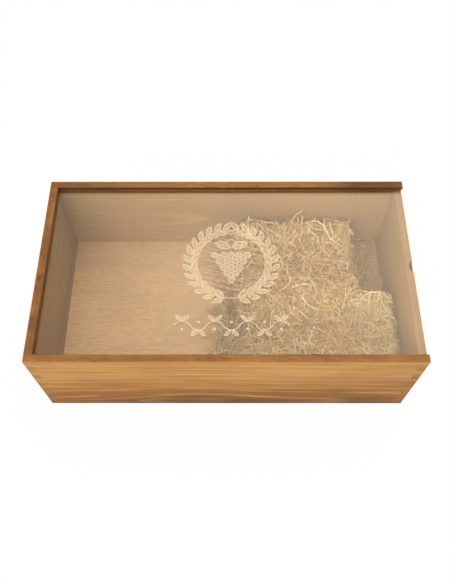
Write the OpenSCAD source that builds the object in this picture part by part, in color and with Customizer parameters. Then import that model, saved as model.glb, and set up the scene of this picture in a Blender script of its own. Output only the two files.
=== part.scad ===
// Wooden gift box for two wine bottles, with a clear lid that slides out at one end.
// Millimetres, +Z up. The origin is the centre of the underside, X runs along the box and
// the lid opens towards +X. The front of the box faces -Y.

/* [Box] */
// Outside length, along the way the lid slides
box_l = 345; // [280:1:420]
// Outside width
box_w = 191; // [150:1:260]
// Outside height, from the table to the top of the long walls
box_h = 107; // [85:1:150]
// Thickness of the four walls
wall_t = 7.5; // [6:0.5:12]
// Rounding of the edges that a hand touches
edge_r = 0.6; // [0.5:0.1:2]
// Rounding of the four upright corners
corner_r = 1; // [0.5:0.5:4]

/* [Finger joints] */
// Fingers up each corner, both walls counted; the long walls hold the lowest and the highest
finger_count = 11; // [5:2:15]

/* [Sliding lid] */
// Thickness of the clear sheet
lid_t = 3; // [2:0.5:5]
// Wood left above the lid's groove
lip_h = 4; // [3:0.5:12]
// Room above the sheet in its groove
lid_play = 0.5; // [0.3:0.1:4]
// Depth of the lid's groove
lid_groove_d = 3.5; // [2:0.5:4.5]
// Gap between the sheet's edges and the back of its grooves
lid_edge_gap = 0.5; // [0.2:0.1:1]
// Gap between the sheet and the floor of its groove
lid_rest_gap = 0.1; // [0.05:0.05:0.3]
// Radius of the sheet's corners, seen from above
lid_corner_r = 2; // [1:0.5:5]
// Polished bevel along the sheet's edges
lid_bevel = 0.4; // [0.2:0.1:0.8]

/* [Finger scoop] */
// Width of the half-moon at the end wall's outer face
scoop_w = 14; // [10:1:30]
// How far the half-moon reaches into the end wall
scoop_d = 4; // [2:0.5:5]
// Height of the scoop below the lid
scoop_h = 3.5; // [2.5:0.5:12]
// How far the scoop lies behind the middle of the end wall
scoop_shift = 2; // [-20:1:20]

/* [Bottom panel] */
// Thickness of the panel
panel_t = 5; // [3:0.5:8]
// Height of the panel's underside above the table
panel_lift = 3; // [2:0.5:8]
// Depth of the panel's groove in the walls
panel_groove_d = 3.5; // [2:0.5:4.5]
// Gap at the panel's edges, where the wood can swell
panel_gap = 0.3; // [0.2:0.1:1]

/* [Bottles] */
// Diameter of the bottles that the box holds
bottle_d = 83; // [70:1:90]
// Length of a bottle, from its base at the left end wall to its mouth
bottle_l = 298; // [270:1:310]
// Length of a bottle's straight body
body_l = 150; // [120:1:180]
// Length of a bottle's sloping shoulder
shoulder_l = 65; // [40:1:90]
// Diameter of a bottle's neck
neck_d = 30; // [26:1:36]

/* [Wood wool] */
// How far along the shoulder the packing begins
wool_tuck = 25; // [5:1:40]
// Height of the bed that the necks lie on, above the panel
wool_bed_h = 30; // [22:1:36]
// Height of the ridge between the necks, above the panel
wool_ridge_h = 50; // [40:1:60]
// Height of the banks along the walls, above the panel
wool_bank_h = 44; // [38:1:55]
// Radius of the ridge's and the banks' rounded tops
wool_round_r = 30; // [26:1:45]
// Height of the heap beyond the front bottle's mouth, above the panel
wool_heap_h = 46; // [36:1:58]
// Gap between the packing and the wood round it
wool_gap = 0.3; // [0.2:0.1:1]

/* [Hidden] */

$fn = 64;
overlap = 1; // how far a cutter runs past the face that it opens
wood_pale = "#C08A55";
wood_brown = "#A9743F";
wood_inner = "#C9A070";
clear_sheet = [0.86, 0.9, 0.92, 0.35];
straw = "#D9BC86";

// The inside of the four walls
inner_l = box_l - 2 * wall_t;
inner_w = box_w - 2 * wall_t;

// The lid's groove is one flat slot through three walls, open at the right end
groove_top = box_h - lip_h;
groove_floor = groove_top - lid_play - lid_t - lid_rest_gap;
lid_slot_l = box_l - wall_t + lid_groove_d;
lid_slot_w = inner_w + 2 * lid_groove_d;
lid_l = lid_slot_l - lid_edge_gap;
lid_w = lid_slot_w - 2 * lid_edge_gap;
lid_z = groove_floor + lid_rest_gap;

panel_top = panel_lift + panel_t;
panel_slot_l = inner_l + 2 * panel_groove_d;
panel_slot_w = inner_w + 2 * panel_groove_d;

finger_h = box_h / finger_count;
scoop_r = (pow(scoop_w / 2, 2) + pow(scoop_d, 2)) / (2 * scoop_d);

// Each bottle lies on the panel, in the middle of its half of the box
bottle_y = inner_w / 4;
bottle_z = panel_top + bottle_d / 2;
mouth_x = -inner_l / 2 + bottle_l;
wool_x = -inner_l / 2 + body_l + wool_tuck;
wool_l = inner_l - wool_gap - body_l - wool_tuck;

// A rectangle centred on the origin, with round corners
module rounded_rectangle(x, y, r) {
    square([x - 2 * r, y], center = true);
    square([x, y - 2 * r], center = true);
    for (sx = [-1, 1], sy = [-1, 1])
        translate([sx * (x / 2 - r), sy * (y / 2 - r)])
            circle(r);
}

// A rectangle centred on the origin, with bevelled corners
module bevelled_rectangle(x, y, b) {
    polygon([[-x / 2 + b, -y / 2], [x / 2 - b, -y / 2], [x / 2, -y / 2 + b], [x / 2, y / 2 - b],
             [x / 2 - b, y / 2], [-x / 2 + b, y / 2], [-x / 2, y / 2 - b], [-x / 2, -y / 2 + b]]);
}

// A prism along X through the box's middle, from a profile drawn in Y and Z
module along_x(length) {
    rotate([90, 0, 90])
        linear_extrude(length, center = true)
            children();
}

// A prism along Y through the box's middle, from a profile drawn in X and Z
module along_y(length) {
    rotate([90, 0, 0])
        linear_extrude(length, center = true)
            children();
}

// The whole box's outside, with every outer edge rounded by hand sanding
module outside() {
    translate([0, 0, box_h / 2])
        intersection() {
            along_x(box_l)
                rounded_rectangle(box_w, box_h, edge_r);
            along_y(box_w)
                rounded_rectangle(box_l, box_h, edge_r);
            linear_extrude(box_h, center = true)
                rounded_rectangle(box_l, box_w, corner_r);
        }
}

// Turns what is drawn towards +X and +Y to the end and the side asked for
module facing(end, side) {
    mirror([end < 0 ? 1 : 0, 0, 0])
        mirror([0, side < 0 ? 1 : 0, 0])
            children();
}

// What is sanded off a top edge that runs along X: the corner's square less its round
module edge_waste(length) {
    translate([0, 0, box_h - edge_r])
        rotate([90, 0, 90])
            linear_extrude(length)
                difference() {
                    translate([-overlap, 0])
                        square(edge_r + overlap);
                    translate([edge_r, 0])
                        circle(edge_r);
                }
}

// The slot that the lid slides in, with no floor at the right end
module lid_slot() {
    translate([box_l / 2 - lid_slot_l, -lid_slot_w / 2, groove_floor])
        cube([lid_slot_l + overlap, lid_slot_w, groove_top - groove_floor]);
}

// The groove round the bottom panel
module panel_slot() {
    translate([-panel_slot_l / 2, -panel_slot_w / 2, panel_lift])
        cube([panel_slot_l, panel_slot_w, panel_t]);
}

// The end wall's fingers at one corner, which are the sockets of the long wall there.
// They alternate with the long wall's from the second step up, and none passes end_top.
module end_fingers(end, side, end_top) {
    for (i = [1 : 2 : finger_count - 2])
        if (i * finger_h < end_top)
            facing(end, side)
                translate([inner_l / 2, inner_w / 2, i * finger_h])
                    cube([wall_t + overlap, wall_t + overlap,
                          min(finger_h, end_top - i * finger_h)]);
}

// A long wall; side is -1 for the front and 1 for the back
module long_wall(side) {
    difference() {
        intersection() {
            outside();
            facing(1, side)
                translate([-box_l / 2, inner_w / 2, 0])
                    cube([box_l, wall_t, box_h]);
        }
        lid_slot();
        panel_slot();
        end_fingers(-1, side, box_h);
        end_fingers(1, side, groove_floor);
        facing(1, side)
            translate([-inner_l / 2, inner_w / 2, 0])
                edge_waste(inner_l + wall_t + overlap);
    }
}

// An end wall; end is -1 for the left and 1 for the right, and top is its height
module end_wall(end, top) {
    difference() {
        intersection() {
            outside();
            union() {
                facing(end, 1)
                    translate([inner_l / 2, -inner_w / 2, 0])
                        cube([wall_t, inner_w, top]);
                for (side = [-1, 1])
                    end_fingers(end, side, top);
            }
        }
        lid_slot();
        panel_slot();
    }
}

module front_wall() {
    color(wood_pale)
        long_wall(-1);
}

module back_wall() {
    color(wood_brown)
        long_wall(1);
}

module left_end_wall() {
    color(wood_brown)
        difference() {
            end_wall(-1, box_h);
            translate([-inner_l / 2, -inner_w / 2, 0])
                rotate([0, 0, 90])
                    edge_waste(inner_w);
        }
}

// The lowered end wall, with a half-moon that lets a fingertip under the lid's edge
module right_end_wall() {
    color(wood_pale)
        difference() {
            end_wall(1, groove_floor);
            translate([box_l / 2 - scoop_d + scoop_r, scoop_shift, groove_floor - scoop_h])
                cylinder(h = scoop_h + overlap, r = scoop_r);
        }
}

module bottom_panel() {
    color(wood_inner)
        translate([0, 0, panel_lift])
            linear_extrude(panel_t)
                square([panel_slot_l - 2 * panel_gap, panel_slot_w - 2 * panel_gap], center = true);
}

module lid() {
    color(clear_sheet)
        translate([(box_l - lid_l) / 2, 0, lid_z + lid_t / 2])
            intersection() {
                linear_extrude(lid_t, center = true)
                    rounded_rectangle(lid_l, lid_w, lid_corner_r);
                along_x(lid_l)
                    bevelled_rectangle(lid_w, lid_t, lid_bevel);
                along_y(lid_w)
                    bevelled_rectangle(lid_l, lid_t, lid_bevel);
            }
}

// The room that one bottle takes, lying with its base at the left end wall
module bottle_room() {
    translate([-inner_l / 2, 0, bottle_z])
        rotate([0, 90, 0]) {
            cylinder(h = body_l, d = bottle_d);
            translate([0, 0, body_l])
                cylinder(h = shoulder_l, d1 = bottle_d, d2 = neck_d);
            translate([0, 0, body_l + shoulder_l])
                cylinder(h = bottle_l - body_l - shoulder_l, d = neck_d);
        }
}

// The packing's cross-section: a bed, a ridge between the necks and a bank at each wall
module wool_profile() {
    translate([-inner_w / 2, panel_top])
        square([inner_w, wool_bed_h]);
    translate([0, panel_top + wool_ridge_h - wool_round_r])
        circle(wool_round_r);
    for (side = [-1, 1])
        translate([side * inner_w / 2, panel_top + wool_bank_h - wool_round_r])
            circle(wool_round_r);
}

// The room for the packing: between the walls, over the panel and under the lid, less
// the bare corner behind the front heap, which lies beyond the rear bottle's mouth
module wool_room() {
    difference() {
        translate([wool_x, -inner_w / 2 + wool_gap, panel_top + wool_gap])
            cube([wool_l, inner_w - 2 * wool_gap, groove_floor - panel_top - 2 * wool_gap]);
        translate([mouth_x, 0, 0])
            cube([inner_l, inner_w, box_h]);
    }
}

module wood_wool() {
    color(straw)
        difference() {
            intersection() {
                wool_room();
                union() {
                    along_x(box_l)
                        wool_profile();
                    translate([inner_l / 2, 0, panel_top + wool_heap_h - wool_round_r])
                        rotate([90, 0, 0])
                            cylinder(h = box_w, r = wool_round_r, center = true);
                }
            }
            for (side = [-1, 1])
                translate([0, side * bottle_y, 0])
                    bottle_room();
        }
}

front_wall();
back_wall();
left_end_wall();
right_end_wall();
bottom_panel();
lid();
wood_wool();
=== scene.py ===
# %% [markdown]
# # A wooden wine box with a clear sliding lid
# The walls, the floor and the lid come ready made from the frame, at their real size. This
# lesson gives them their finish, fills the box with wood wool and sets the box in soft light.
# Everything is in metres, with the box's length along X and its front facing -Y.

# %% Load the frame
import math
import random

import bmesh
import bpy
from mathutils import Matrix, Vector, noise


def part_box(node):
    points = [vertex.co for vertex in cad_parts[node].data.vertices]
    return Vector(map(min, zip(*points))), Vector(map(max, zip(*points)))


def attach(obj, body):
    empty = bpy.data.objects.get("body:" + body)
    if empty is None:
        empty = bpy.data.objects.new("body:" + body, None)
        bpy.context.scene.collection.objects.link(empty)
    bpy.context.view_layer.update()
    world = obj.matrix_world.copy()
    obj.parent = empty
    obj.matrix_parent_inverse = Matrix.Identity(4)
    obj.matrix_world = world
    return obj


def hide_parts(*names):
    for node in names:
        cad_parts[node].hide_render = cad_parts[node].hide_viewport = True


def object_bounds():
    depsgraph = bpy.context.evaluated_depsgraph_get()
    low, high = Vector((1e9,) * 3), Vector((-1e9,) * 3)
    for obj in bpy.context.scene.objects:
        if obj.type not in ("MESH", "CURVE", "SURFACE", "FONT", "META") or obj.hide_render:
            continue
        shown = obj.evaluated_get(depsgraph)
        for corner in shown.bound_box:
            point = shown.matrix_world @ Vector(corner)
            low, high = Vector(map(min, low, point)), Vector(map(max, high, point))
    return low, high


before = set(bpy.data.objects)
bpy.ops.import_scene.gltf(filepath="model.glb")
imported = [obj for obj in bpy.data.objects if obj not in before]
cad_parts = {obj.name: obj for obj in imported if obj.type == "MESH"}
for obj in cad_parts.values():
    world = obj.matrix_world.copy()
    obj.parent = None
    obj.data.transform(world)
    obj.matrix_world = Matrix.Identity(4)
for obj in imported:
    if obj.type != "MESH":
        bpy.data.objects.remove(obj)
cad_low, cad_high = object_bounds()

MM = 0.001
print("the box measures", [round(s / MM, 1) for s in cad_high - cad_low], "mm")

# %% [markdown]
# The finishes and the packing are placed by a few sizes of the frame's own parts. Reading
# them from the parts keeps the looks in step with the construction. The finishes work in
# millimetres, where the numbers of a grain are easy to read, so some sizes are kept twice.

# %% Sizes taken from the parts
half_length, half_width = cad_high.x, cad_high.y
front_low, front_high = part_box("front_wall")
wall = front_high.y - front_low.y
inner_half_length = half_length - wall
inner_half_width = half_width - wall
lid_low, lid_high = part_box("lid")
floor_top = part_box("bottom_panel")[1].z
wool_low, wool_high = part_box("wood_wool")

END_MM, SIDE_MM, TOP_MM = half_length / MM, half_width / MM, cad_high.z / MM
WALL_MM = wall / MM
INNER_END_MM, INNER_SIDE_MM = inner_half_length / MM, inner_half_width / MM
LID_LOW_MM, LID_TOP_MM = lid_low.z / MM, lid_high.z / MM
print("walls", round(WALL_MM, 2), "mm thick, inside floor at", round(floor_top / MM, 2), "mm")

# %% [markdown]
# The camera stands in front of the box and looks down on it steeply. Blender's field of view
# is set by a lens and a 36 mm sensor along the picture's long side, so a focal length
# measured in pixels turns into a lens by one division.

# %% The camera
PICTURE_LONG_SIDE = 584
FOCAL_PIXELS = 640.7
SENSOR = 36.0
camera_place = Vector((0.0016, -0.2992, 0.6101))
look_down, heading, roll = math.radians(61.68), math.radians(0.39), math.radians(-0.35)

camera_data = bpy.data.cameras.new("camera")
camera_data.sensor_width = SENSOR
camera_data.lens = SENSOR * FOCAL_PIXELS / PICTURE_LONG_SIDE
camera = bpy.data.objects.new("camera", camera_data)
bpy.context.scene.collection.objects.link(camera)
camera.matrix_world = (
    Matrix.Translation(camera_place)
    @ Matrix.Rotation(heading, 4, "Z")
    @ Matrix.Rotation(math.pi / 2 - look_down, 4, "X")
    @ Matrix.Rotation(roll, 4, "Z")
)
bpy.context.scene.camera = camera
print("lens", round(camera_data.lens, 2), "mm")

# %% [markdown]
# ## Shader maths as Python
# Materials are node trees, and long sums of Math nodes are hard to read when they are wired
# by hand. `Wire` wraps one socket and lets Python's operators add the Math nodes, so that
# `1 - mask` works.


# %% One output of a node
class Wire:
    """One output of a node, with operators that add Math nodes to its material."""

    def __init__(self, paint, socket):
        self.paint = paint
        self.socket = socket

    def math(self, operation, *values, clamp=False):
        settings = {"operation": operation, "use_clamp": clamp}
        return self.paint.node("Math", settings, dict(enumerate(values)))

    def __add__(self, other):
        return self.math("ADD", self, other)

    def __radd__(self, other):
        return self.math("ADD", other, self)

    def __sub__(self, other):
        return self.math("SUBTRACT", self, other)

    def __rsub__(self, other):
        return self.math("SUBTRACT", other, self)

    def __mul__(self, other):
        return self.math("MULTIPLY", self, other)

    def __rmul__(self, other):
        return self.math("MULTIPLY", other, self)

    def __truediv__(self, other):
        return self.math("DIVIDE", self, other)

    def __abs__(self):
        return self.math("ABSOLUTE", self)

    def least(self, other):
        return self.math("MINIMUM", self, other)

    def most(self, other):
        return self.math("MAXIMUM", self, other)

    def floor(self):
        return self.math("FLOOR", self)

    def rounded(self):
        return self.math("ROUND", self)

    def part(self):
        """What is left of a number above its whole part."""
        return self.math("FRACT", self)

    def root(self):
        return self.math("SQRT", self)

    def centred(self):
        """A number from 0 to 1, moved so that it lies round 0."""
        return self - 0.5

    def between(self, low, high):
        """From low to high, as this number goes from 0 to 1."""
        return low + (high - low) * self

    def hump(self):
        """A soft bell over 0: 1 there, and nearly 0 from 2 on either side."""
        return self.math("EXPONENT", -1 * self * self)

    def clamped(self):
        return self.math("ADD", self, 0.0, clamp=True)

    def rise(self, start, end):
        """0 before start, 1 after end, with a soft step between them. end may lie before start."""
        settings = {"interpolation_type": "SMOOTHSTEP"}
        low, high = min(start, end), max(start, end)
        step = self.paint.node("MapRange", settings, {0: self, 1: low, 2: high})
        return step if start < end else 1 - step


# %% [markdown]
# `Paint` holds one material, or a world. Its `node` method adds any other kind of node, and
# the short methods after it stand for the kinds that come up often. Colours are written as a
# painter would mix them, from 0 to 255, but Blender adds up light, so each one is turned into
# linear light first.


# %% One material
class Paint:
    """The nodes of one new material, or of a world. node() adds the next one."""

    def __init__(self, name, owner=None):
        self.owner = owner or bpy.data.materials.new(name)
        self.owner.use_nodes = True
        self.tree = self.owner.node_tree
        self.tree.nodes.clear()

    def node(self, kind, settings, sockets, out=0):
        made = self.tree.nodes.new("ShaderNode" + kind)
        for setting, value in settings.items():
            setattr(made, setting, value)
        for key, value in sockets.items():
            if isinstance(value, Wire):
                self.tree.links.new(value.socket, made.inputs[key])
            else:
                made.inputs[key].default_value = value
        return Wire(self, made.outputs[out]) if made.outputs else None

    def ray(self, kind):
        """1 for rays of one kind, such as Camera or Shadow, and 0 for all others."""
        return self.node("LightPath", {}, {}, f"Is {kind} Ray")

    def vector(self, x, y, z):
        return self.node("CombineXYZ", {}, {0: x, 1: y, 2: z})

    def split(self, vector):
        return [self.node("SeparateXYZ", {}, {0: vector}, out) for out in range(3)]

    def place(self):
        """The point on the piece, as three numbers in millimetres."""
        point = self.node("TexCoord", {}, {}, "Object")
        return [axis / MM for axis in self.split(point)]

    def facing(self):
        """The surface's own direction, as three numbers."""
        return self.split(self.node("TexCoord", {}, {}, "Normal"))

    def noise(self, x, y, z, detail=2.0, roughness=0.5):
        """Soft noise from 0 to 1, about one swell for each whole step of x, y or z."""
        sockets = {"Vector": self.vector(x, y, z), "Scale": 1.0, "Detail": detail}
        return self.node("TexNoise", {}, sockets | {"Roughness": roughness})

    def grey(self, level):
        return self.node("CombineColor", {}, {0: level, 1: level, 2: level})

    def mix(self, factor, first, second, how="MIX"):
        settings = {"data_type": "RGBA", "blend_type": how}
        return self.node("Mix", settings, {0: factor, 6: first, 7: second}, out=2)

    def bump(self, height, millimetres):
        sockets = {"Strength": 1.0, "Distance": millimetres * MM, "Height": height}
        return self.node("Bump", {}, sockets)

    def principled(self, sockets):
        return self.node("BsdfPrincipled", {}, sockets)

    def finish(self, surface, output="OutputMaterial"):
        self.node(output, {}, {"Surface": surface})
        return self.owner


def linear(channel):
    """One sRGB channel, from 0 to 255, as Blender's linear light."""
    share = channel / 255
    return share / 12.92 if share <= 0.04045 else ((share + 0.055) / 1.055) ** 2.4


def tone(red, green, blue):
    """An sRGB colour in linear light."""
    return linear(red), linear(green), linear(blue), 1.0


# %% [markdown]
# ## Stained softwood
# A board shows the yearly rings of its tree. Rings are nested tubes round the pith, so a
# solid pattern that measures the distance to the pith gives straight lines, arches and end
# grain on every face at once, and they meet at the edges as they do on real wood. The small
# patterns over the rings are noises, most of them stretched along the grain. They differ in
# their sizes, which are millimetres, and in "seeded", the direction in which a board's own
# seed moves them, so one table holds them all.

# %% The noises of the grain
GRAIN = {
    "wander": {"length": 170.0, "width": 70.0, "detail": 1.0, "seeded": 0},
    "ripple": {"length": 26.0, "width": 22.0, "detail": 2.0, "seeded": 1},
    "fibre": {"length": 14.0, "width": 1 / 1.9, "detail": 3.0, "roughness": 0.65},
    "streak": {"length": 75.0, "width": 2.6, "detail": 3.0, "seeded": 1},
    "patch": {"length": 75.0, "width": 26.0, "detail": 2.0, "seeded": 2},
    "fleck": {"length": 8.0, "width": 1.8, "detail": 2.0, "seeded": 2},
    "blotch": {"length": 19.0, "width": 19.0, "detail": 3.0, "seeded": 2},
}


def grain(paint, point, name, seed):
    """One noise of the table, at a point given along, across and into the board."""
    kind = GRAIN[name]
    sizes = kind["length"], kind["width"], kind["width"]
    scaled = [value / size for value, size in zip(point, sizes)]
    if "seeded" in kind:
        scaled[kind["seeded"]] += seed
    return paint.noise(*scaled, detail=kind["detail"], roughness=kind.get("roughness", 0.5))


# %% [markdown]
# A year of growth is a wide band of soft early wood and a thin line of hard late wood. The
# stain sinks into the first and hardly into the second, so the late wood shows as pale lines
# on brown. No ring is a perfect circle: it wanders, ripples, and bends round every knot.

# %% Rings and knots
WANDER_MM = 5.0
RIPPLE_MM = 1.1
SPOT_LENGTH = 1.5
KNOT_BEND = 1.3
YEAR_DRIFT, YEAR_DRIFT_PACE = 0.55, 0.45
LATE_WOOD, LATE_WOOD_END = (0.7, 0.93), (1.0, 0.97)
YEAR_APART = 3.7
RING_FADE_MM, RING_FADE = 65.0, (0.36, 0.72)
FAINTEST_RING = 0.12


def soft_spot(point, spot):
    """1 in the middle of a knot or a dark spot, falling smoothly to 0 outside it."""
    along, across, deep = point
    width = spot["size"] * spot.get("stretch", 1.0)
    u = (along - spot["along"]) / (spot["size"] * SPOT_LENGTH)
    v = (across - spot["across"]) / width
    w = (deep - spot["deep"]) / width
    return (u * u + v * v + w * w).root().hump()


def ring_lines(paint, board, point):
    """Pale late-wood lines from 0 to 1, and the distance to the pith in millimetres."""
    along, across, deep = point
    seed = board["seed"]
    wander = grain(paint, point, "wander", seed).centred()
    ripple = grain(paint, point, "ripple", seed).centred()
    swell = ((along - board["arch_at"]) / board["arch_length"]).hump()
    sideways = across - board["pith_across"] + WANDER_MM * wander
    inwards = deep + board["pith_deep"] - board["arch_rise"] * swell
    radius = (sideways * sideways + inwards * inwards).root() + RIPPLE_MM * ripple
    radius = radius + along * board["taper"]
    for knot in board["knots"]:
        radius = radius - knot["size"] * KNOT_BEND * soft_spot(point, knot)
    years = radius / board["ring"]
    years = years + YEAR_DRIFT * paint.noise(years * YEAR_DRIFT_PACE, seed, 0.0, detail=0.0)
    within = years.part()
    line = within.rise(*LATE_WOOD) * within.rise(*LATE_WOOD_END)
    fade = paint.noise(years.floor() * YEAR_APART, along / RING_FADE_MM, seed, detail=1.0)
    return line * fade.rise(*RING_FADE).between(FAINTEST_RING, 1), radius


# %% [markdown]
# Here and there a board shows a single bright line that runs along the grain and bulges
# once. It is too lonely for the rings, so it is drawn by itself: the distance to a bent
# line, turned into a thin bell.

# %% Veins
VEIN_WAVE_MM, VEIN_WAVE_LENGTH_MM = 3.0, 45.0
VEIN_FADE_MM, VEIN_FADE = 55.0, (0.3, 0.6)
FAINTEST_VEIN = 0.3
VEIN_SHADOW_MM = (1.0, -9.0)


def vein(paint, line, point):
    """A bright wavy line that bulges once on its way along the board, and the shade below it."""
    along, across, _ = point
    bulge = ((along - line["at"]) / line["length"]).hump() * line["rise"]
    wave = paint.noise(along / VEIN_WAVE_LENGTH_MM, line["across"], 0.0, detail=1.0).centred()
    offset = across - line["across"] - bulge - VEIN_WAVE_MM * wave
    fade = paint.noise(along / VEIN_FADE_MM, 0.0, line["across"], detail=1.0).rise(*VEIN_FADE)
    reach = ((along - line["at"]) / line["reach"]).hump()
    shine = (offset / line["width"]).hump() * fade.between(FAINTEST_VEIN, 1) * reach
    return shine, offset.rise(*VEIN_SHADOW_MM) * reach


# %% [markdown]
# Two things show that the box was put together by hand. Sanding takes the stain off the
# outer edges, and a thin dark line of glue runs round each finger of the corner joints. The
# pale edges are partly that wear and partly a painted highlight. Both are worked out from
# the box's own sizes: near an edge, two of the three distances to the box's faces are small.

# %% Worn edges with a painted highlight, and glue lines
WEAR_MM, WEAR_FULL_MM, WEAR_WAVE_MM = 1.3, 0.1, 1.6
FINGERS = 11
GLUE_LINE_MM = 0.22
GLUE_FADE_MM = (GLUE_LINE_MM, 0.4 * GLUE_LINE_MM)
OUTSIDE_MM = (WALL_MM - 0.6, WALL_MM - 0.3)
SHARP = 0.001
STANDING = (0.7, 0.3)


def standing(facing):
    """1 on upright faces and 0 on level ones."""
    return abs(facing[2]).rise(*STANDING)


def worn_edges_and_highlight(place, fibre):
    """1 on the box's outer edges, fading over a millimetre or so."""
    from_end = END_MM - abs(place[0])
    from_side = SIDE_MM - abs(place[1])
    from_top = (TOP_MM - place[2]).least(place[2])
    middle = from_end.least(from_side).most(from_end.most(from_side).least(from_top))
    return (middle + WEAR_WAVE_MM * fibre.centred()).rise(WEAR_MM, WEAR_FULL_MM)


def joint_lines(place, facing):
    """Thin lines where the fingers of the corners meet."""
    finger = TOP_MM / FINGERS
    step = place[2] / finger
    from_end = abs(place[0]) - INNER_END_MM
    from_side = abs(place[1]) - INNER_SIDE_MM
    in_corner = from_end.rise(-GLUE_LINE_MM, 0.0) * from_side.rise(-GLUE_LINE_MM, 0.0)
    to_step = abs(step - step.rounded()) * finger
    level = to_step.rise(*GLUE_FADE_MM) * in_corner
    odd = (step / 2).part().centred().rise(-SHARP, SHARP)
    front_line = abs(from_end).rise(*GLUE_FADE_MM) * odd * from_side.rise(*OUTSIDE_MM)
    end_line = abs(from_side).rise(*GLUE_FADE_MM) * (1 - odd) * from_end.rise(*OUTSIDE_MM)
    return level.most(front_line.most(end_line)) * standing(facing)


# %% [markdown]
# The stain tells where the box was hard to reach. The narrow lips above the lid are darker,
# partly from pooled stain and partly as painted shade of the groove. The stain ran a little
# way down inside below the lid's groove, and is thin on the faces that look into the box.
# The hollow at the right end, where a finger pushes the lid open, gets painted shade that
# makes it darker than the rim around it. All four masks are worked out from the frame's
# sizes. What is given here is how softly they fade, how far the stain ran and how large the
# scoop is.

# %% Lips, inner faces and the finger scoop
LIP_FADE_MM, LIP_INSIDE_MM = 1.5, (1.0, 2.0)
INNER_MM = (0.3, 0.1)
RUN_MM, RUN_FULL_MM, RUN_WAVE_MM = 4.0, 2.0, 2.4
SCOOP_WIDTH_MM, SCOOP_DEPTH_MM, SCOOP_HEIGHT_MM, SCOOP_SHIFT_MM = 14.0, 4.0, 3.5, 2.0
SCOOP_FADE_MM = 0.3
SCOOP_FLOOR_MM, SCOOP_RIM_MM = (1.0, 0.6), (0.2, 0.5)


def lip_shade(place, facing):
    """1 on the narrow inner faces above the lid, darkened by stain and painted shade."""
    above_lid = place[2].rise(LID_TOP_MM, LID_TOP_MM + LIP_FADE_MM)
    inside = (END_MM - abs(place[0])).least(SIDE_MM - abs(place[1]))
    return above_lid * inside.rise(*LIP_INSIDE_MM) * standing(facing)


def inner_faces(place):
    """1 on the faces that look into the box."""
    from_end = abs(place[0]) - INNER_END_MM
    from_side = abs(place[1]) - INNER_SIDE_MM
    return from_end.rise(*INNER_MM) * from_side.rise(*INNER_MM)


def run_over(place, fibre):
    """1 just below the lid, with a ragged lower edge."""
    ragged = place[2] + RUN_WAVE_MM * fibre.centred()
    return ragged.rise(LID_LOW_MM - RUN_MM, LID_LOW_MM - RUN_FULL_MM)


def scoop_shade(place):
    """1 in the hollow at the right end, whose faces get painted shade."""
    from_middle = abs(place[1] - SCOOP_SHIFT_MM)
    in_width = from_middle.rise(SCOOP_WIDTH_MM / 2 + SCOOP_FADE_MM, SCOOP_WIDTH_MM / 2)
    start = END_MM - SCOOP_DEPTH_MM
    in_depth = place[0].rise(start - SCOOP_FADE_MM, start)
    below_rim = LID_LOW_MM - place[2]
    above_floor = (below_rim - SCOOP_HEIGHT_MM).rise(*SCOOP_FLOOR_MM)
    return in_width * in_depth * above_floor * below_rim.rise(*SCOOP_RIM_MM)


# %% [markdown]
# A finish is a stack of coats, laid one over another. Each coat says how much of it shows,
# and which of the board's colours it has. The first coats follow the tree: reddish patches,
# dark and pale streaks, rings, veins, dark spots and knots.

# %% Coats of the tree
PATCH, PATCH_SHARE = (0.35, 0.75), 0.4
DARK_STREAK, DARK_SHARE = (0.53, 0.66), 0.24
PALE_STREAK, PALE_SHARE = (0.45, 0.35), 0.3
VEIN_SHARE = 0.85
KNOT_HEART, KNOT_SHARE = (0.45, 0.85), 0.85


def tree_coats(paint, board, point, lines, streak, patch):
    """What the tree's growth shows through the finish."""
    coats = [
        (patch.rise(*PATCH) * PATCH_SHARE, "red"),
        (streak.rise(*DARK_STREAK) * DARK_SHARE, "dark"),
        (streak.rise(*PALE_STREAK) * PALE_SHARE, "gold"),
        (lines * board["line"], "gold"),
    ]
    for line in board["veins"]:
        shine, below = vein(paint, line, point)
        coats += [(below * line["shade"], "dark"), (shine * VEIN_SHARE, "gold")]
    for spot in board["spots"]:
        coats.append((soft_spot(point, spot) * spot["depth"], "dark"))
    for knot in board["knots"]:
        coats.append((soft_spot(point, knot).rise(*KNOT_HEART) * KNOT_SHARE, "knot"))
    return coats


# %% [markdown]
# The next coats are the stain, which end grain drinks up unevenly, and a darker, blotchy
# tone on the faces that look up. The last ones are wear and painted shade: pale edges of
# wear and a painted highlight, glue lines, lips dark with stain and painted shade, painted
# shade in the finger scoop, and a painted shadow where the box stands on the table.

# %% Coats of the workshop and of painted shade
INNER_SHARE = 0.6
END_GRAIN, END_STAIN = (0.6, 0.9), (0.05, 0.8)
TOP_EDGE, RIM_BLOTCH = (0.2, 0.5), (0.55, 1.45)
WEAR_AND_HIGHLIGHT_SHARE = (0.1, 0.5)
GLUE_SHARE = 0.4
LIP_LEAST = 0.5
# The painted shadow along the foot of the upright faces.
CONTACT_SHADOW_MM, CONTACT_SHADOW_SHARE = (1.8, 0.3), 0.5


def stain_and_rim_coats(board, place, facing, fibre, blotch):
    """The stain, which takes best on end grain, and a darker tone on the faces that look up."""
    inner = inner_faces(place)
    end_grain = abs(facing[board["axes"][0]]).rise(*END_GRAIN)
    top_edge = facing[2].rise(*TOP_EDGE)
    return [
        (inner * INNER_SHARE, "inside"),
        (run_over(place, fibre) * inner * board["run"], "dark"),
        (end_grain * blotch.between(*END_STAIN), "end"),
        # A darker, blotchy tone on the faces that look up.
        (top_edge * board["rim_darkening"] * blotch.between(*RIM_BLOTCH), "rim"),
    ]


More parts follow.
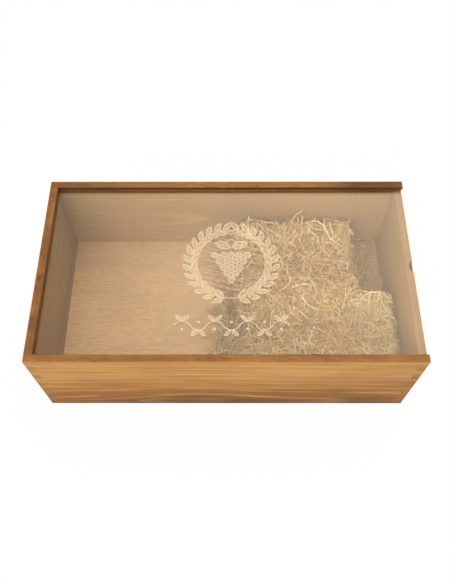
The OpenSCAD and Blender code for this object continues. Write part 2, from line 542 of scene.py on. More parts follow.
def wear_and_shade_coats(board, place, facing, fibre, patch):
    """What sanding and gluing left, with painted shade, a painted shadow and a painted highlight.
    """
    # How much stain and painted shade darken the lips.
    lip_stain_and_shade = (LIP_LEAST + patch).clamped() * board["lip"]
    return [
        # Pale outer edges: sanding wear and a painted highlight.
        (worn_edges_and_highlight(place, fibre) * patch.between(*WEAR_AND_HIGHLIGHT_SHARE), "gold"),
        (joint_lines(place, facing) * GLUE_SHARE, "knot"),
        # Lips dark with pooled stain and painted shade.
        (lip_shade(place, facing) * lip_stain_and_shade, "knot"),
        # Painted shade in the finger scoop.
        (scoop_shade(place), "hollow"),
        # A painted shadow where the box stands on the table.
        (place[2].rise(*CONTACT_SHADOW_MM) * standing(facing) * CONTACT_SHADOW_SHARE, "knot"),
    ]


# %% [markdown]
# A board's material lays these coats in turn. Between the stain and the wear, the finest
# noises mottle it, as pores and loose fibres do to a real board. Its fibres, streaks and late
# wood also stand out a little from the surface, by a bump.

# %% One board's finish
HEART_LEAST = 0.25
MOTTLE_BASE, MOTTLE, TOP_MOTTLE = 0.76, 0.24, 0.4
RELIEF_MM = 0.25
LINE_RELIEF, FIBRE_RELIEF, STREAK_RELIEF = 0.5, 0.35, 0.15
WOOD_ROUGHNESS, LINE_POLISH = (0.5, 0.66), 0.1
WOOD_SHINE = 0.12


def wood(name, board):
    """A stained board's finish. The board says which way its grain runs and where its pith is."""
    paint = Paint(name)
    place, facing = paint.place(), paint.facing()
    point = [place[axis] for axis in board["axes"]]
    lines, radius = ring_lines(paint, board, point)
    kinds = ("fibre", "streak", "patch", "fleck")
    fibre, streak, patch, fleck = (grain(paint, point, kind, board["seed"]) for kind in kinds)
    # Blotches are as wide as they are long, so they take X, Y and Z as they are.
    blotch = grain(paint, place, "blotch", board["seed"])

    def coated(colour, coats):
        """A colour with the coats laid over it, one after another."""
        for share, tone_name in coats:
            colour = paint.mix(share, colour, board[tone_name])
        return colour

    heart = radius.rise(*board["heart"]).between(HEART_LEAST, 1)
    colour = paint.mix(heart, board["pale"], board["brown"])
    colour = coated(colour, tree_coats(paint, board, point, lines, streak, patch))
    colour = coated(colour, stain_and_rim_coats(board, place, facing, fibre, blotch))
    on_top = facing[2].rise(*TOP_EDGE) * TOP_MOTTLE * fleck.centred()
    shade = paint.grey(MOTTLE_BASE + MOTTLE * (fibre + fleck) + on_top)
    colour = paint.mix(1.0, colour, shade, "MULTIPLY")
    colour = coated(colour, wear_and_shade_coats(board, place, facing, fibre, patch))

    relief = LINE_RELIEF * lines + FIBRE_RELIEF * fibre + STREAK_RELIEF * streak
    surface = paint.principled({
        "Base Color": colour,
        "Roughness": fibre.between(*WOOD_ROUGHNESS) - LINE_POLISH * lines,
        "Normal": paint.bump(relief, RELIEF_MM),
        "Specular IOR Level": WOOD_SHINE,
    })
    return paint.finish(surface)


# %% [markdown]
# Each board gets its own tree: another pith, other rings and other tones, because four walls
# cut from one pattern would look printed. `BOARD_DEFAULTS` holds what they have in common, and lengths
# are in millimetres. "axes" says which of X, Y and Z run along, across and into the board,
# and "heart" how far from the pith the wood is palest and how far it is brownest.

# %% What the boards have in common
BOARD_DEFAULTS = {
    "pale": tone(212, 167, 104),
    "brown": tone(160, 112, 58),
    "red": tone(166, 108, 60),
    "gold": tone(228, 178, 106),
    "dark": tone(112, 74, 38),
    "rim": tone(116, 76, 50),
    # Knots and glue lines, and also the lips' painted shade and the painted shadow at the foot.
    "knot": tone(58, 34, 20),
    "end": tone(150, 104, 70),
    "inside": tone(191, 171, 134),
    # The colour of the finger scoop's painted shade.
    "hollow": tone(44, 20, 4),
    "lip": 0.6,
    "run": 0.85,
    "line": 0.75,
    "rim_darkening": 0.45,
    "arch_at": 0.0,
    "arch_length": 90.0,
    "arch_rise": 0.0,
    "taper": 0.004,
    "ring": 8.0,
    "heart": (80.0, 18.0),
    "knots": [],
    "spots": [],
    "veins": [],
}
ALONG_LENGTH, ALONG_WIDTH, LYING_FLAT = (0, 2, 1), (1, 2, 0), (0, 1, 2)

# %% [markdown]
# The spots are soft and dark, and a "stretch" below 1 makes one long and narrow. The narrow
# ones lie along the rim, or along the edge that stands on the table.

# %% The boards
boards = {
    "front_wall": BOARD_DEFAULTS | {
        # Its pith lies low, so it darkens towards the bottom: partly heartwood, partly painted
        # shade.
        "axes": ALONG_LENGTH, "seed": 2.3, "pith_across": 8.0, "pith_deep": 120.0,
        "arch_at": -40.0, "arch_rise": 10.0, "brown": tone(154, 104, 46), "line": 0.8,
        "ring": 9.5, "rim_darkening": 0.66, "pale": tone(218, 169, 107),
        "veins": [
            {"across": 43.5, "rise": 1.5, "at": 5.0, "length": 40.0, "reach": 130.0,
             "width": 0.9, "shade": 0.1},
            {"across": 9.0, "rise": 19.0, "at": -20.0, "length": 75.0, "reach": 100.0,
             "width": 0.9, "shade": 0.45},
        ],
        "spots": [
            {"along": 105.0, "across": 34.0, "deep": -95.0, "size": 9.0, "depth": 0.4},
            {"along": -110.0, "across": 107.5, "deep": -92.0, "size": 70.0, "stretch": 0.06,
             "depth": 0.3},
            {"along": 120.0, "across": 30.0, "deep": -95.0, "size": 55.0, "depth": 0.05},
            {"along": 130.0, "across": 2.0, "deep": -95.0, "size": 16.0, "depth": 0.8},
            {"along": 150.0, "across": 80.0, "deep": -95.0, "size": 44.0, "depth": 0.16},
            {"along": -10.0, "across": 2.0, "deep": -95.0, "size": 50.0, "stretch": 0.2,
             "depth": 0.75},
        ],
    },
    "back_wall": BOARD_DEFAULTS | {
        "axes": ALONG_LENGTH, "seed": 7.1, "pith_across": 52.0, "pith_deep": -60.0,
        "arch_at": 90.0, "arch_rise": -9.0, "rim_darkening": 0.6,
        "spots": [
            {"along": -150.0, "across": 107.0, "deep": 92.0, "size": 34.0, "depth": 0.55},
            {"along": -150.0, "across": 65.0, "deep": 88.0, "size": 40.0, "depth": 0.3},
            {"along": 130.0, "across": 107.0, "deep": 92.0, "size": 17.0, "depth": 1.0},
            {"along": 158.0, "across": 107.0, "deep": 92.0, "size": 20.0, "depth": 0.95},
            {"along": 30.0, "across": 107.0, "deep": 90.0, "size": 0.9, "depth": 0.9},
        ],
    },
    "left_end_wall": BOARD_DEFAULTS | {
        "axes": ALONG_WIDTH, "seed": 11.9, "pith_across": -15.0, "pith_deep": 190.0,
        # The dark inside tone is painted shade on the inner face.
        "rim_darkening": 0.8, "inside": tone(102, 94, 76), "lip": 0.1, "run": 0.6,
        "knots": [{"along": -13.0, "across": 107.0, "deep": -169.0, "size": 2.6}],
    },
    "right_end_wall": BOARD_DEFAULTS | {
        "axes": ALONG_WIDTH, "seed": 17.2, "pith_across": 30.0, "pith_deep": -140.0,
        "rim_darkening": 0.75, "rim": tone(154, 129, 112), "run": 0.0,
        "spots": [
            {"along": -75.0, "across": 99.0, "deep": 169.0, "size": 30.0, "depth": 0.14},
        ],
    },
    "bottom_panel": BOARD_DEFAULTS | {
        "axes": LYING_FLAT, "seed": 23.6, "pith_across": 140.0, "pith_deep": 60.0,
        "arch_rise": 6.0, "rim_darkening": 0.0, "heart": (260.0, 60.0), "line": 0.35,
        # Pale tones for bare wood, lifted further as painted light against the shade inside the
        # box.
        "pale": tone(248, 222, 184), "brown": tone(236, 202, 158),
        "inside": tone(218, 192, 154),
    },
}
for node_name, board in boards.items():
    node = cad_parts[node_name]
    node.data.materials.clear()
    node.data.materials.append(wood("stained_" + node_name, board))
print("stained", len(boards), "boards")

# %% [markdown]
# An operator acts on everything that is selected, and the frame arrives selected. A few small
# helpers keep that in hand from here on.


# %% Helpers for selecting and changing a piece
def deselect():
    """Leaves nothing selected."""
    bpy.ops.object.select_all(action="DESELECT")


def pick(piece):
    """Makes a piece the only selected and active one."""
    deselect()
    piece.select_set(True)
    bpy.context.view_layer.objects.active = piece
    return piece


def add_to_scene(name, data):
    """A new object of the scene, at the origin."""
    made = bpy.data.objects.new(name, data)
    bpy.context.scene.collection.objects.link(made)
    return made


def weld(piece, distance):
    """Joins the points of a piece that lie closer together than distance."""
    pick(piece)
    bpy.ops.object.mode_set(mode="EDIT")
    bpy.ops.mesh.select_all(action="SELECT")
    bpy.ops.mesh.remove_doubles(threshold=distance)
    bpy.ops.object.mode_set(mode="OBJECT")


def delete_faces(piece, unwanted):
    """Deletes each face for which unwanted(face) is true."""
    pick(piece)
    bpy.ops.object.mode_set(mode="EDIT")
    cage = bmesh.from_edit_mesh(piece.data)
    for face in cage.faces:
        face.select_set(unwanted(face))
    bmesh.update_edit_mesh(piece.data)
    bpy.ops.mesh.delete(type="FACE")
    bpy.ops.object.mode_set(mode="OBJECT")


def apply_all(piece):
    """Turns a piece's modifiers into real geometry."""
    pick(piece)
    for modifier in list(piece.modifiers):
        bpy.ops.object.modifier_apply(modifier=modifier.name)


# %% [markdown]
# ## Floor, sky and lamp
# A white studio is two jobs at once: it lights the box, and it is the white behind it. If the
# white came from strong lamps, the wood would bleach. So the camera sees plain white, while
# the light that falls on the wood comes from a dimmer sky and one soft lamp. The floor keeps
# a little of its real shading, which is the box's shadow.

# %% The floor
FLOOR_SIDE = 8.0
FLOOR_BELOW = 0.0002
FLOOR_WHITE = 0.97


def seen_directly(paint):
    """1 for what the camera sees, straight or in a mirror or through glass, and 0 for light."""
    return paint.ray("Camera").most(paint.ray("Glossy")).most(paint.ray("Transmission"))


deselect()
bpy.ops.mesh.primitive_plane_add(size=FLOOR_SIDE, location=(0, 0, -FLOOR_BELOW))
floor = bpy.context.active_object
floor.name = "studio_floor"
bpy.ops.object.transform_apply()
paper = Paint("white_paper")
shaded = paper.node("BsdfDiffuse", {}, {"Color": tone(246, 246, 244)})
glowing = paper.node("Emission", {}, {"Strength": 1.0})
whiteness = seen_directly(paper) * FLOOR_WHITE
blend = paper.node("MixShader", {}, {0: whiteness, 1: shaded, 2: glowing})
floor.data.materials.append(paper.finish(blend))
print("floor", FLOOR_SIDE, "m wide")

# %% [markdown]
# The sky is brightest round one direction, high behind the box and to the right. Light Path
# nodes split that glow in two: one falls on the wood, and a dimmer and narrower one shows in
# mirror images, as the haze in the clear lid. The camera itself sees neither.

# %% The sky
SKY_LIGHT = 0.45
SKY_COLOUR = tone(255, 240, 217)
GLOW_TOWARDS = Vector((0.28, 0.5, 0.82)).normalized()
GLOW_LIGHT, GLOW_SPREAD = 2.5, (0.7, 1.0)
MIRRORED_LIGHT, MIRRORED_SPREAD = 1.9, (0.8, 1.0)
MIRRORED_COLOUR = tone(255, 236, 208)

sky = Paint("studio_sky", bpy.data.worlds.new("studio_sky"))
direction = sky.split(sky.node("TexCoord", {}, {}, "Generated"))
aligned = sum((axis * share for axis, share in zip(direction, GLOW_TOWARDS)), start=0.0)
hidden, mirrored = 1 - sky.ray("Camera"), sky.ray("Glossy")
falling = aligned.rise(*GLOW_SPREAD) * hidden * GLOW_LIGHT
haze = aligned.rise(*MIRRORED_SPREAD) * MIRRORED_LIGHT
glow = mirrored * (haze - falling) + falling
strength = seen_directly(sky).between(SKY_LIGHT, 1) + glow
sky_tone = sky.mix(hidden, tone(255, 255, 255), SKY_COLOUR)
sky_tone = sky.mix(mirrored, sky_tone, MIRRORED_COLOUR)
backdrop = sky.node("Background", {}, {"Color": sky_tone, "Strength": strength})
bpy.context.scene.world = sky.finish(backdrop, "OutputWorld")
print("sky of", len(sky.tree.nodes), "nodes")

# %% [markdown]
# One weak lamp in front of the box lifts its front board. It is hidden from glossy rays, so
# that no board has a square highlight.

# %% The lamp
LAMP_PLACE, LAMP_AIM = Vector((-0.7, -1.6, 1.2)), Vector((0, 0, 0.05))
LAMP_SIDE, LAMP_WATTS = 1.0, 15.0

softbox = bpy.data.lights.new("front_softbox", "AREA")
softbox.size = LAMP_SIDE
softbox.energy = LAMP_WATTS
lamp = add_to_scene("front_softbox", softbox)
lamp.rotation_euler = (LAMP_AIM - LAMP_PLACE).to_track_quat("-Z", "Y").to_euler()
lamp.location = LAMP_PLACE
lamp.visible_glossy = False
bpy.context.scene.view_settings.view_transform = "Standard"
print("a lamp of", LAMP_WATTS, "W")

# %% [markdown]
# ## The clear lid
# Acrylic bends light, mirrors a little of the sky and lets the rest through. Cycles can't find
# a lamp through a surface that bends light, so the inside of the box would be black. The
# usual way round this is a Light Path node: rays that look for a lamp meet a plain
# transparent sheet, and all other rays meet the real one.

# %% Clear acrylic
ACRYLIC_IOR = 1.49


def acrylic():
    """Clear plastic that doesn't stop a lamp's light."""
    paint = Paint("clear_acrylic")
    sheet = paint.principled({
        "Base Color": tone(250, 249, 247),
        "Roughness": 0.0,
        "IOR": ACRYLIC_IOR,
        "Transmission Weight": 1.0,
    })
    lets_pass = paint.node("BsdfTransparent", {}, {"Color": tone(238, 236, 232)})
    blend = {0: paint.ray("Shadow"), 1: sheet, 2: lets_pass}
    return paint.finish(paint.node("MixShader", {}, blend))


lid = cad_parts["lid"]
lid.data.materials.clear()
lid.data.materials.append(acrylic())
print("the lid is made of", lid.data.materials[0].name)

# %% [markdown]
# Seen end on, clear plastic turns dark, but a real sheet's edges are sawn and scraped, which
# leaves them matt and pale. Their plastic has a fine noise in its roughness, stretched along
# the edge as scraper marks are, and a little glow of its own for the light that the sheet
# gathers and lets out there.

# %% The matt plastic
EDGE_GLOW = 0.35
SCRAPE_MM = (2.5, 2.5, 0.4)
EDGE_ROUGHNESS = (0.5, 0.7)
EDGE_SHINE = 0.4


def matt_plastic():
    """Scraped plastic that glows a little."""
    paint = Paint("matt_acrylic_edge")
    scaled = (axis / size for axis, size in zip(paint.place(), SCRAPE_MM))
    surface = paint.principled({
        "Base Color": tone(230, 216, 184),
        "Roughness": paint.noise(*scaled).between(*EDGE_ROUGHNESS),
        "Emission Color": tone(255, 240, 212),
        "Emission Strength": EDGE_GLOW,
        "Specular IOR Level": EDGE_SHINE,
    })
    return paint.finish(surface)


# %% [markdown]
# The edge is a skin of its own: a copy of the sheet that keeps only its upright faces, moved
# just inside the sheet by Displace and thickened inwards by Solidify.

# %% The sheet's matt edge
EDGE_SKIN = 0.0008
EDGE_INSET = 0.00002
EDGE_WELD = 0.000001
FLAT_ABOVE = 0.3

sheet_edge = add_to_scene("matt_sheet_edge", lid.data.copy())
weld(sheet_edge, EDGE_WELD)
delete_faces(sheet_edge, lambda face: abs(face.normal.z) > FLAT_ABOVE)
inset = sheet_edge.modifiers.new("inset", "DISPLACE")
inset.strength = -EDGE_INSET
inset.mid_level = 0
skin = sheet_edge.modifiers.new("skin", "SOLIDIFY")
skin.thickness = EDGE_SKIN
skin.offset = -1
apply_all(sheet_edge)
sheet_edge.data.materials.clear()
sheet_edge.data.materials.append(matt_plastic())
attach(sheet_edge, "lid")
print("sheet edge", len(sheet_edge.data.polygons), "faces")

# %% [markdown]
# ## Wood wool
# The bottle necks lie in wood wool: long, flat, curly shavings, a millimetre or so wide. The
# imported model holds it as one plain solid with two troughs, and this step dresses that
# solid. A dark, lumpy core stops you from seeing through the packing, and thousands of
# shavings lie on it. Only a few shavings are modelled; the rest are copies, turned, curled
# differently and laid over the solid's surface.

# %% The core
CORE_VOXEL = 0.004
CORE_INSET = 0.0065
CORE_LUMP, LUMP_LENGTH = 0.003, 0.011
CORE_COVER = 0.005
CORE_LIFT = 0.0003
FEEL = 0.005
WELD = 0.00001

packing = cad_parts["wood_wool"]


def packing_height(x, y):
    """Height of the packing's top, averaged over four points round a place."""
    total = 0.0
    for step_x, step_y in ((FEEL, 0), (-FEEL, 0), (0, FEEL), (0, -FEEL)):
        start = (x + step_x, y + step_y, lid_low.z)
        hit, place, _, _ = packing.ray_cast(start, (0, 0, -1))
        total += place.z if hit else floor_top
    return total / 4


core = add_to_scene("packing_core", packing.data.copy())
weld(core, WELD)
remesh = core.modifiers.new("remesh", "REMESH")
remesh.mode = "VOXEL"
remesh.voxel_size = CORE_VOXEL
apply_all(core)
for vertex in core.data.vertices:
    lump = noise.noise(vertex.co / LUMP_LENGTH) * CORE_LUMP
    vertex.co -= vertex.normal * (CORE_INSET - lump)
    highest = packing_height(vertex.co.x, vertex.co.y) - CORE_COVER
    vertex.co.z = max(min(vertex.co.z, highest), floor_top + CORE_LIFT)
core.data.materials.clear()
print("core", len(core.data.polygons), "faces")

# %% [markdown]
# A shaving is a flat ribbon that curls one way and then another. The Spin operator makes
# just that: it sweeps a small rectangle round an axis. Three short spins in a row, each
# round another axis beside the ribbon's end, make one shaving. Without a window Spin turns
# the other way, so its angle is negative.

# %% A few shavings
SHAVINGS = 16
SHAVING_WIDTH = (0.0007, 0.0013)
SHAVING_THICKNESS = 0.0003
ARCS, ARC_STEPS = 3, 3
ARC_LENGTH = (0.010, 0.024)
ARC_TURN = (0.15, 1.5)
ARC_TWIST = 0.5
SEED = 20

dice = random.Random(SEED)


def make_shaving():
    """A curly ribbon that starts at the origin along X, and is then centred there."""
    deselect()
    bpy.ops.mesh.primitive_plane_add(size=1, rotation=(0, math.pi / 2, 0))
    shaving = bpy.context.active_object
    shaving.scale = (SHAVING_THICKNESS, dice.uniform(*SHAVING_WIDTH), 1)
    bpy.ops.object.transform_apply()
    end, turned = Vector(), Matrix.Identity(3)
    bpy.ops.object.mode_set(mode="EDIT")
    for _ in range(ARCS):
        angle = dice.uniform(*ARC_TURN)
        twist = dice.choice((0, math.pi)) + dice.gauss(0, ARC_TWIST)
        tilt = turned @ Matrix.Rotation(twist, 3, "X")
        axis = tilt @ Vector((0, 0, 1))
        centre = end + tilt @ Vector((0, dice.uniform(*ARC_LENGTH) / angle, 0))
        bpy.ops.mesh.spin(steps=ARC_STEPS, angle=-angle, center=centre, axis=axis)
        swing = Matrix.Rotation(angle, 3, axis)
        end = centre + swing @ (end - centre)
        turned = swing @ turned
    bpy.ops.mesh.select_all(action="SELECT")
    bpy.ops.mesh.remove_doubles(threshold=WELD)
    bpy.ops.mesh.normals_make_consistent(inside=False)
    bpy.ops.object.mode_set(mode="OBJECT")
    corners = [vertex.co for vertex in shaving.data.vertices]
    shaving.data.transform(Matrix.Translation(-sum(corners, Vector()) / len(corners)))
    return shaving


shavings = [make_shaving() for _ in range(SHAVINGS)]
print("made", len(shavings), "shavings of", len(shavings[0].data.polygons), "faces")

# %% [markdown]
# Each copy is dropped at a random place and turned a random way. Then every one of its points
# is raised by the height of the packing below it, which drapes the ribbon over ridges and
# into the troughs. A copy that would poke through a wall is pushed back inside.

# %% Laying one shaving
SPILL = 0.012
WALL_GAP = 0.0004
SHAVING_LEAN = 0.35


def push_inside(points, axis, limit):
    """Moves points together along an axis until they lie between -limit and limit."""
    under = max(0.0, -limit - min(point[axis] for point in points))
    over = max(0.0, max(point[axis] for point in points) - limit)
    for point in points:
        point[axis] += under - over


def lay(shaving, lift, curl):
    """The points of one more copy, where it comes to lie."""
    x = dice.uniform(wool_low.x - SPILL, wool_high.x)
    y = dice.uniform(wool_low.y, wool_high.y)
    spun = Matrix.Rotation(dice.uniform(0, math.tau), 3, "Z")
    turn = spun @ Matrix.Rotation(dice.gauss(0, SHAVING_LEAN), 3, "X")
    points = [turn @ vertex.co + Vector((x, y, 0)) for vertex in shaving.data.vertices]
    push_inside(points, 0, inner_half_length - WALL_GAP)
    push_inside(points, 1, inner_half_width - WALL_GAP)
    raised = dice.uniform(0, lift)
    lowest = floor_top + WALL_GAP
    for point in points:
        height = packing_height(point.x, point.y) + raised + point.z * curl
        point.z = lowest + abs(height - lowest)
    return points


# %% [markdown]
# Most copies lie close to the packing. A few hundred are loose: they keep all of their curl
# and stand higher. Hardly any stray into the corners, where the packing ends and the floor
# is bare, so a copy that would lie there is nearly always laid again.

# %% Piles of shavings
BARE_HEIGHT, BARE_SHARE, STRAY = 0.010, 0.4, 0.05
LAID, LAID_LIFT, LAID_CURL = 2500, 0.0045, 0.55
LOOSE, LOOSE_LIFT, LOOSE_CURL = 330, 0.006, 1.0


def in_bare_corner(points):
    """Whether a copy would lie mostly on the bare floor beyond the packing."""
    bare_height, bare_from = floor_top + BARE_HEIGHT, wool_low.x + SPILL
    low = [point for point in points if point.z < bare_height and point.x > bare_from]
    return len(low) > BARE_SHARE * len(points)


def pile(name, count, lift, curl):
    """One piece made of many copies, each with its own tint."""
    points, faces, tints = [], [], []
    for _ in range(count):
        shaving = dice.choice(shavings)
        copy = lay(shaving, lift, curl)
        while in_bare_corner(copy) and dice.random() > STRAY:
            copy = lay(shaving, lift, curl)
        first = len(points)
        points += copy
        faces += [[first + corner for corner in face.vertices] for face in shaving.data.polygons]
        tints += [dice.random()] * len(copy)
    mesh = bpy.data.meshes.new(name)
    mesh.from_pydata(points, [], faces)
    tint = mesh.attributes.new("tint", "FLOAT", "POINT")
    tint.data.foreach_set("value", tints)
    print(name, count, "shavings,", len(faces) * 2, "triangles")
    return add_to_scene(name, mesh)


laid = pile("packing_shavings", LAID, LAID_LIFT, LAID_CURL)
loose = pile("packing_loose_shavings", LOOSE, LOOSE_LIFT, LOOSE_CURL)
for shaving in shavings:
    bpy.data.objects.remove(shaving)

# %% [markdown]
# Aspen is nearly white when it is fresh and yellows with age, so every shaving has a tint of
# its own between dull and bright. A depth darkens the core, because it only shows through
# gaps, where little light comes. The lowest shavings are painted darker, as painted shade, and
# those towards the right end lighter, as painted light against the right wall's shade.

# %% Pale aspen
STRAW = {
    "bright": tone(255, 248, 212),
    "middle": tone(240, 211, 155),
    "dull": tone(188, 151, 97),
    "deep": tone(118, 88, 54),
}
TINT_MIDDLE, TINT_BRIGHT = (0.0, 0.75), (0.6, 1.0)
STRAW_GRAIN_MM, STRAW_PATCH_MM = 0.9, 24.0
STRAW_PATCH, STRAW_PATCH_SHARE = (0.5, 0.75), 0.3
# Painted light towards the right end, and painted shade on the lowest shavings.
RIGHT_END_LIGHT_MM, RIGHT_END_LIGHT_SHARE = (100.0, 145.0), 0.28
LOW_SHADE_MM, LOW_SHADE_SHARE = (44.0, 16.0), 0.12
STRAW_SHADE, STRAW_ROUGHNESS = (0.88, 1.12), (0.55, 0.75)
STRAW_RELIEF_MM = 0.08
STRAW_SHINE = 0.3
CORE_DEPTH = 0.5


def straw(name, depth):
    """Aspen shavings. depth is how much of it lies in its own shade, from 0 to 1."""
    paint = Paint(name)
    x, y, z = paint.place()
    tint = paint.node("Attribute", {"attribute_name": "tint"}, {}, "Fac")
    pores = paint.noise(*(axis / STRAW_GRAIN_MM for axis in (x, y, z)))
    patch = paint.noise(*(axis / STRAW_PATCH_MM for axis in (x, y, z)), detail=1.0)
    coats = [
        (tint.rise(*TINT_BRIGHT), "bright"),
        (patch.rise(*STRAW_PATCH) * STRAW_PATCH_SHARE, "dull"),
        # Painted light on the shavings towards the right end.
        (x.rise(*RIGHT_END_LIGHT_MM) * (1 - depth) * RIGHT_END_LIGHT_SHARE, "bright"),
        # Painted shade on the lowest shavings, and the core's own depth.
        (z.rise(*LOW_SHADE_MM) * (1 - depth) * LOW_SHADE_SHARE + depth, "deep"),
    ]
    colour = paint.mix(tint.rise(*TINT_MIDDLE), STRAW["dull"], STRAW["middle"])
    for share, tone_name in coats:
        colour = paint.mix(share, colour, STRAW[tone_name])
    shade = paint.grey(pores.between(*STRAW_SHADE))
    surface = paint.principled({
        "Base Color": paint.mix(1.0, colour, shade, "MULTIPLY"),
        "Roughness": pores.between(*STRAW_ROUGHNESS),
        "Normal": paint.bump(pores, STRAW_RELIEF_MM),
        "Specular IOR Level": STRAW_SHINE,
    })
    return paint.finish(surface)


core.data.materials.append(straw("shaded_wood_wool", CORE_DEPTH))
laid.data.materials.append(straw("wood_wool", 0.0))
loose.data.materials.append(laid.data.materials[0])
for piece in (core, laid, loose):
    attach(piece, "box")
    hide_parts("wood_wool")
print("dressed the packing with", core.name, laid.name, "and", loose.name)

# %% [markdown]
# ## The etched ornament
# A laser has frosted an ornament into the top of the lid: a wreath of leaves round a bunch of
# grapes, and a small vine below it. Frosting is a matt skin on clear plastic. Where it is
# brushed, it breaks up into slanting strokes with clear plastic between them.

# %% Frosted skin
FROST = tone(255, 243, 222)
BRUSHED_FROST = tone(214, 196, 176)
STROKE_SLANT = math.radians(-16)
STROKE_WAVE_MM, STROKE_WAVE_SIZE_MM = 2.0, (22.0, 30.0)
STROKE_SIZE_MM, BRISTLE_SIZE_MM = (60.0, 2.6), (9.0, 0.5)
BRISTLE_SHARE = 0.3
GAP = (0.50, 0.42)
FROST_ROUGHNESS, FROST_SHINE = 0.85, 0.2


def frosted(name, colour, cover, brushed):
    """Matt, half-clear skin. brushed is how much of it is missing between the brush strokes."""
    paint = Paint(name)
    x, y, _ = paint.place()
    along = x * math.cos(STROKE_SLANT) + y * math.sin(STROKE_SLANT)
    across = y * math.cos(STROKE_SLANT) - x * math.sin(STROKE_SLANT)

    def brush_noise(sideways, sizes, layer, detail):
        """A noise with two sizes: along the strokes and across them."""
        return paint.noise(along / sizes[0], sideways / sizes[1], layer, detail=detail)

    wavy = across + STROKE_WAVE_MM * brush_noise(across, STROKE_WAVE_SIZE_MM, 1.0, 0.0)
    stroke = brush_noise(wavy, STROKE_SIZE_MM, 3.0, 1.0)
    bristle = brush_noise(wavy, BRISTLE_SIZE_MM, 5.0, 2.0)
    gap = (stroke + BRISTLE_SHARE * bristle.centred()).rise(*GAP)
    surface = paint.principled({
        "Base Color": colour,
        "Roughness": FROST_ROUGHNESS,
        "Alpha": cover * (1 - brushed * gap),
        "Specular IOR Level": FROST_SHINE,
    })
    return paint.finish(surface)


FROSTING = (
    frosted("etched_line", FROST, cover=0.5, brushed=0.0),
    frosted("etched_tone", FROST, cover=0.24, brushed=0.3),
    frosted("etched_strokes", BRUSHED_FROST, cover=0.26, brushed=0.95),
)
RIM, MIDDLE, BRUSHED = range(len(FROSTING))
print("frosted in", len(FROSTING), "ways")

# %% [markdown]
# Each leaf and grape is a flat shape that lies just above the sheet. Inset splits a shape
# into a rim and a middle: the rim becomes the bright outline, and the middle a softer,
# brushed tone. A curved line is the rim of a large round shape with a part cut away.

# %% Flat shapes
ETCHED_LINE = 0.0008
LEAF_CORNERS, ARC_CORNERS = 16, 72


def flat_shape(corners, length, width):
    """A flat, filled round or oval in the lid's plane."""
    deselect()
    bpy.ops.mesh.primitive_circle_add(vertices=corners, radius=0.5, fill_type="NGON")
    shape = bpy.context.active_object
    shape.scale = (length, width, 1)
    bpy.ops.object.transform_apply()
    for skin in FROSTING:
        shape.data.materials.append(skin)
    return shape


def outlined(shape):
    """Splits a flat shape into its rim and its middle."""
    pick(shape)
    bpy.ops.object.mode_set(mode="EDIT")
    bpy.ops.mesh.select_all(action="SELECT")
    bpy.ops.mesh.inset(thickness=ETCHED_LINE, depth=0)
    bpy.ops.object.mode_set(mode="OBJECT")
    for face in shape.data.polygons:
        face.material_index = MIDDLE if face.select else RIM
    return shape


def leaf(length, width):
    """A leaf with two pointed ends, from the origin along X."""
    shape = flat_shape(LEAF_CORNERS, length, width)
    for vertex in shape.data.vertices:
        share = 2 * vertex.co.x / length
        vertex.co.y = math.copysign(width / 2 * (1 - share * share), vertex.co.y)
        vertex.co.x += length / 2
    return outlined(shape)


def arc(radius, start, end):
    """A curved line: a ring with the part outside start and end cut away."""
    across = 2 * radius + ETCHED_LINE
    ring = outlined(flat_shape(ARC_CORNERS, across, across))

    def outside(face):
        centre = face.calc_center_median()
        angle = (math.atan2(centre.y, centre.x) - start) % math.tau
        return face.material_index == MIDDLE or angle > end - start

    delete_faces(ring, outside)
    return ring


# %% [markdown]
# Every shape is modelled once, as a template at the origin, and stamped on the lid as often
# as it is needed. A stamped copy has a mesh of its own, so that all copies can be joined to
# one piece at the end. The brushed field lies a hair below the other shapes.

# %% Templates and stamps
ETCHED_SKIN = 0.00004
ETCHED_ABOVE = 0.00001
LAYER_STEP = 1.5 * ETCHED_SKIN
QUARTER_TURN = math.pi / 2
GRAPE, DOT = 0.0070, 0.0026
GRAPE_CORNERS, DOT_CORNERS, FIELD_CORNERS = 16, 10, 64
FIELD_RADIUS = 0.031
TENDRIL_RADIUS, TENDRIL_TURN = 0.0045, math.radians(250)
LAUREL_LEAF, VINE_LEAF = (0.0125, 0.0056), (0.0165, 0.009)

laurel, vine_leaf = leaf(*LAUREL_LEAF), leaf(*VINE_LEAF)
grape = outlined(flat_shape(GRAPE_CORNERS, GRAPE, GRAPE))
dot = outlined(flat_shape(DOT_CORNERS, DOT, DOT))
tendril = arc(TENDRIL_RADIUS, 0.0, TENDRIL_TURN)
field = flat_shape(FIELD_CORNERS, 2 * FIELD_RADIUS, 2 * FIELD_RADIUS)
for face in field.data.polygons:
    face.material_index = BRUSHED
templates = (laurel, vine_leaf, grape, dot, tendril, field)
ornament = []


def stamp(shape, x, y, angle=0.0, size=1.0, layer=1):
    """One copy of a shape, with its own mesh, at a place on the lid."""
    copy = add_to_scene(shape.name, shape.data.copy())
    place = Matrix.Translation((x, y, lid_high.z + ETCHED_ABOVE + layer * LAYER_STEP))
    copy.data.transform(place @ Matrix.Rotation(angle, 4, "Z") @ Matrix.Scale(size, 4))
    ornament.append(copy)


print("made", len(templates), "templates")

# %% [markdown]
# Two branches rise from the bottom of the wreath and leave it open at the top. The leaves
# stand on them in pairs, and the left branch is the right one's mirror image. The bunch hangs
# in the middle, in rows that get shorter by one grape, under two leaves and a tendril.

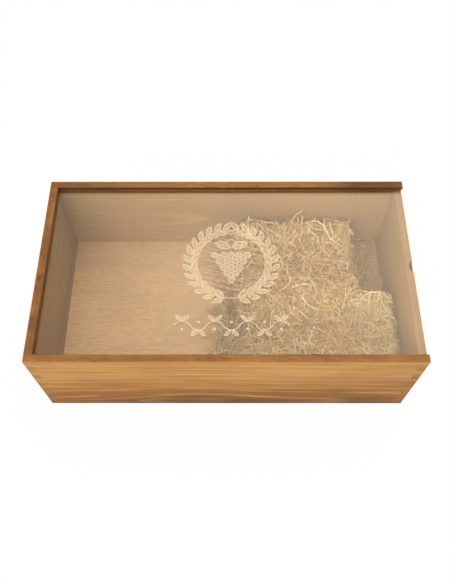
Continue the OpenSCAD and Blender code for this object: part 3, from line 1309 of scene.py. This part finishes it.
# %% The wreath and the grapes
WREATH_X, WREATH_Y, WREATH_RADIUS = 0.0045, 0.005, 0.037
WREATH_OPENING = math.radians(16)
WREATH_LEAVES, FIRST_LEAF = 13, 0.7
LEAF_TILT, VINE_LEAF_TILT = math.radians(34), math.radians(70)
GRAPE_STEP, GRAPE_ROWS, BUNCH_TOP = 0.0074, 5, 0.008
ROW_DROP = GRAPE_STEP * math.cos(math.pi / 6)
STALK = 1.2 * GRAPE
STALK_Y = WREATH_Y + BUNCH_TOP + STALK

stamp(field, WREATH_X, WREATH_Y, layer=0)
stamp(tendril, WREATH_X, STALK_Y + TENDRIL_RADIUS, -QUARTER_TURN)

low_end, high_end = -QUARTER_TURN, QUARTER_TURN - WREATH_OPENING / 2
for side in (1, -1):
    ends = (low_end, high_end) if side > 0 else (math.pi - high_end, math.pi - low_end)
    branch = arc(WREATH_RADIUS, *ends)
    stamp(branch, WREATH_X, WREATH_Y)
    bpy.data.objects.remove(branch)
    for number in range(WREATH_LEAVES):
        angle = low_end + (high_end - low_end) * (number + FIRST_LEAF) / WREATH_LEAVES
        x = WREATH_X + side * WREATH_RADIUS * math.cos(angle)
        y = WREATH_Y + WREATH_RADIUS * math.sin(angle)
        for tilt in (LEAF_TILT, -LEAF_TILT):
            stamp(laurel, x, y, QUARTER_TURN + side * angle + tilt)
    stamp(vine_leaf, WREATH_X, STALK_Y, QUARTER_TURN - side * VINE_LEAF_TILT)

for row in range(GRAPE_ROWS):
    for number in range(GRAPE_ROWS - row):
        x = WREATH_X + (number - (GRAPE_ROWS - row - 1) / 2) * GRAPE_STEP
        stamp(grape, x, WREATH_Y + BUNCH_TOP - row * ROW_DROP)
print("wreath of", len(ornament), "shapes")

# %% [markdown]
# The vine is a row of short arcs that bow up and down in turn. Each has a pair of small
# leaves on its crest and a berry on its hollow side.

# %% The vine
VINE_Y, VINE_WAVES, VINE_WAVE, VINE_BOW = -0.059, 7, 0.0145, math.radians(60)
VINE_LEAF_SIZE, VINE_LEAF_LEAN = 0.72, 1.4 * LEAF_TILT
BERRY_DROP = 0.0035

wave_radius = VINE_WAVE / 2 / math.sin(VINE_BOW)
for number in range(VINE_WAVES):
    x = WREATH_X + (number - (VINE_WAVES - 1) / 2) * VINE_WAVE
    bow = 1 if number % 2 == 0 else -1
    wave = arc(wave_radius, bow * QUARTER_TURN - VINE_BOW, bow * QUARTER_TURN + VINE_BOW)
    stamp(wave, x, VINE_Y - bow * wave_radius * math.cos(VINE_BOW))
    bpy.data.objects.remove(wave)
    crest = VINE_Y + bow * wave_radius * (1 - math.cos(VINE_BOW))
    for lean in (VINE_LEAF_LEAN, -VINE_LEAF_LEAN):
        stamp(laurel, x, crest, bow * QUARTER_TURN + lean, VINE_LEAF_SIZE)
    stamp(dot, x, VINE_Y - bow * BERRY_DROP)
print("wreath and vine of", len(ornament), "shapes")

# %% [markdown]
# The templates have done their work and go. Join makes one piece of all the copies, and
# Solidify gives it the thickness of a skin.

# %% One piece of frosting
for template in templates:
    bpy.data.objects.remove(template)
etching = pick(ornament[0])
for piece in ornament:
    piece.select_set(True)
bpy.ops.object.join()
etching.name = "etched_ornament"
skin = etching.modifiers.new("skin", "SOLIDIFY")
skin.thickness = ETCHED_SKIN
skin.offset = 1
apply_all(etching)
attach(etching, "lid")
print("ornament", len(etching.data.polygons), "faces")
